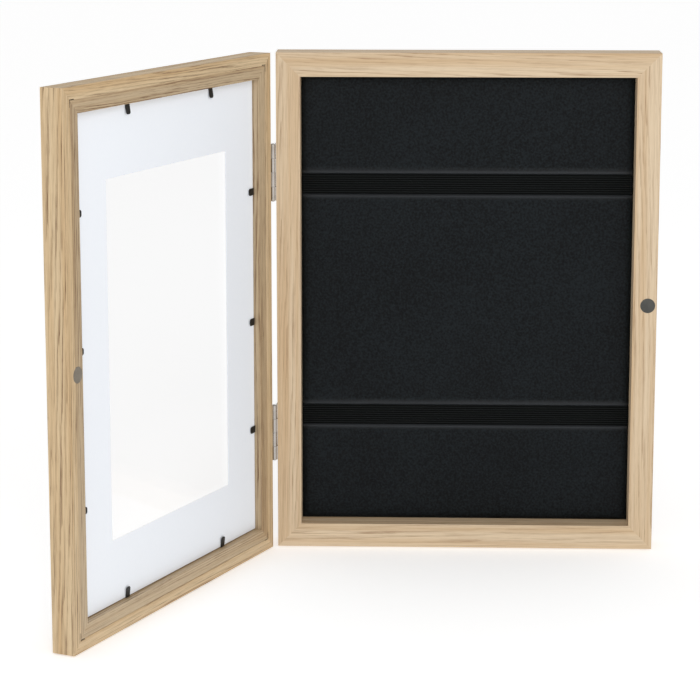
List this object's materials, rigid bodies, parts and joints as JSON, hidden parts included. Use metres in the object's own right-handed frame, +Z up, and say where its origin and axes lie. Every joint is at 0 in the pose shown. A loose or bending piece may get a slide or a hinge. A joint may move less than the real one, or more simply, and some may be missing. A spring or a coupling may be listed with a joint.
{
  "type": "wall mounted showcase",
  "caption": "Wall-hung shallow oak display case with a padded strapped board and a glazed, matted door on two side hinges, held shut by a magnet.",
  "frame": {"origin": "middle of the case's back face, which lies on the wall", "axes": "+Y into the wall (the front faces -Y), +Z up, +X to the right as the viewer faces the case"},
  "size_m": [0.4939, 0.3409, 0.444],
  "materials": {
    "oak": "satin clear lacquer",
    "oak_slip": "satin clear lacquer",
    "fibreboard": "smooth pressed fibreboard",
    "padded_leatherette": "fine grained black leatherette over foam",
    "black_elastic": "ribbed woven elastic",
    "magnet": "dark satin coating",
    "catch_steel": "dull steel disc",
    "clear_acrylic": "clear polished",
    "mat_card": "smooth white mat board",
    "blackened_steel": "black oxide",
    "dark_steel": "raw spring steel",
    "pin_steel": "drawn steel",
    "nickel": "nickel plate"
  },
  "bodies": {
    "case": {"case_rail_top": "oak", "case_rail_bottom": "oak", "case_rail_left": "oak", "case_rail_right": "oak", "case_corner_nails": "dark_steel", "back_panel": "fibreboard", "back_panel_screws": "nickel", "padded_board": "padded_leatherette", "strap_upper": "black_elastic", "strap_lower": "black_elastic", "strap_staples": "nickel", "case_magnet": "magnet", "hanger_left": "nickel", "hanger_right": "nickel", "hanger_screws": "nickel", "upper_hinge_case_leaf": "nickel", "lower_hinge_case_leaf": "nickel", "upper_hinge_pin": "pin_steel", "lower_hinge_pin": "pin_steel", "case_hinge_screws": "nickel"},
    "door": {"door_rail_top": "oak", "door_rail_bottom": "oak", "door_rail_hinge": "oak", "door_rail_free": "oak", "door_slip_top": "oak_slip", "door_slip_bottom": "oak_slip", "door_slip_hinge": "oak_slip", "door_slip_free": "oak_slip", "door_corner_nails": "dark_steel", "glazing": "clear_acrylic", "mat_board": "mat_card", "catch_plate": "catch_steel", "upper_hinge_door_leaf": "nickel", "lower_hinge_door_leaf": "nickel", "door_hinge_screws": "nickel"},
    "mat_tab_top_inner": {"mat_tab_top_inner": "blackened_steel"},
    "mat_tab_top_outer": {"mat_tab_top_outer": "blackened_steel"},
    "mat_tab_bottom_inner": {"mat_tab_bottom_inner": "blackened_steel"},
    "mat_tab_bottom_outer": {"mat_tab_bottom_outer": "blackened_steel"},
    "mat_tab_hinge_upper": {"mat_tab_hinge_upper": "blackened_steel"},
    "mat_tab_hinge_middle": {"mat_tab_hinge_middle": "blackened_steel"},
    "mat_tab_hinge_lower": {"mat_tab_hinge_lower": "blackened_steel"},
    "mat_tab_free_upper": {"mat_tab_free_upper": "blackened_steel"},
    "mat_tab_free_middle": {"mat_tab_free_middle": "blackened_steel"},
    "mat_tab_free_lower": {"mat_tab_free_lower": "blackened_steel"}
  },
  "joints": [
    {"name": "door_swing", "type": "hinge", "parent": "case", "child": "door", "pos_m": [-0.1704, -0.0323, 0], "axis": [0, 0, -1], "range_deg": [-114, 66]},
    {"name": "bend_top_inner", "type": "hinge", "parent": "door", "child": "mat_tab_top_inner", "pos_m": [-0.21674, -0.12047, 0.2007], "axis": [-0.4067, -0.9135, 0], "range_deg": [0, 70]},
    {"name": "bend_top_outer", "type": "hinge", "parent": "door", "child": "mat_tab_top_outer", "pos_m": [-0.27165, -0.2438, 0.2007], "axis": [-0.4067, -0.9135, 0], "range_deg": [0, 70]},
    {"name": "bend_bottom_inner", "type": "hinge", "parent": "door", "child": "mat_tab_bottom_inner", "pos_m": [-0.21146, -0.1086, -0.2007], "axis": [0.4067, 0.9135, 0], "range_deg": [0, 70]},
    {"name": "bend_bottom_outer", "type": "hinge", "parent": "door", "child": "mat_tab_bottom_outer", "pos_m": [-0.27654, -0.25476, -0.2007], "axis": [0.4067, 0.9135, 0], "range_deg": [0, 70]},
    {"name": "bend_hinge_upper", "type": "hinge", "parent": "door", "child": "mat_tab_hinge_upper", "pos_m": [-0.18616, -0.05177, 0.103], "axis": [0, 0, 1], "range_deg": [0, 70]},
    {"name": "bend_hinge_middle", "type": "hinge", "parent": "door", "child": "mat_tab_hinge_middle", "pos_m": [-0.18616, -0.05177, -0.012], "axis": [0, 0, 1], "range_deg": [0, 70]},
    {"name": "bend_hinge_lower", "type": "hinge", "parent": "door", "child": "mat_tab_hinge_lower", "pos_m": [-0.18616, -0.05177, -0.109], "axis": [0, 0, 1], "range_deg": [0, 70]},
    {"name": "bend_free_upper", "type": "hinge", "parent": "door", "child": "mat_tab_free_upper", "pos_m": [-0.30509, -0.31889, 0.123], "axis": [0, 0, -1], "range_deg": [0, 70]},
    {"name": "bend_free_middle", "type": "hinge", "parent": "door", "child": "mat_tab_free_middle", "pos_m": [-0.30509, -0.31889, 0.015], "axis": [0, 0, -1], "range_deg": [0, 70]},
    {"name": "bend_free_lower", "type": "hinge", "parent": "door", "child": "mat_tab_free_lower", "pos_m": [-0.30509, -0.31889, -0.112], "axis": [0, 0, -1], "range_deg": [0, 70]}
  ]
}
